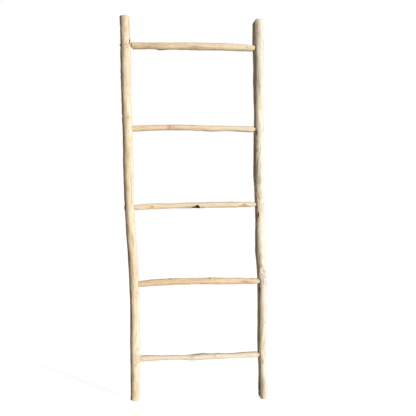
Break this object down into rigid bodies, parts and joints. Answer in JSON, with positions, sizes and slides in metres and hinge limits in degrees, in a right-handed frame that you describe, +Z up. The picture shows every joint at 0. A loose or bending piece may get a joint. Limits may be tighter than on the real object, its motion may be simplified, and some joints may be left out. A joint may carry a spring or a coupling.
{
  "type": "decorative ladder",
  "caption": "Rustic display ladder of peeled, bleached branches: upright rails joined by whittled through-tenoned rungs, for hanging towels and throws.",
  "frame": {"origin": "on the floor, under the middle of the ladder's width and depth", "axes": "+X to the right seen from the front, +Y to the back, +Z up along the rails"},
  "size_m": [0.5644, 0.0538, 1.5],
  "materials": {
    "left_rail_wood": "peeled, bleached and matt, with warm streaks along the grain",
    "right_rail_wood": "peeled, bleached and matt, paler and greyer than the left rail",
    "rung_wood": "peeled and matt, golden tan, whittled at the ends",
    "pale_rung_wood": "peeled and matt, pale cream",
    "nail_steel": "dull steel, browned by age"
  },
  "bodies": {
    "root": {"left_rail": "left_rail_wood", "right_rail": "right_rail_wood", "rung_1": "rung_wood", "rung_2": "rung_wood", "rung_3": "rung_wood", "rung_4": "rung_wood", "rung_5": "pale_rung_wood", "nail_1_left": "nail_steel", "nail_1_right": "nail_steel", "nail_2_left": "nail_steel", "nail_2_right": "nail_steel", "nail_3_left": "nail_steel", "nail_3_right": "nail_steel", "nail_4_left": "nail_steel", "nail_4_right": "nail_steel", "nail_5_left": "nail_steel", "nail_5_right": "nail_steel"}
  },
  "joints": []
}
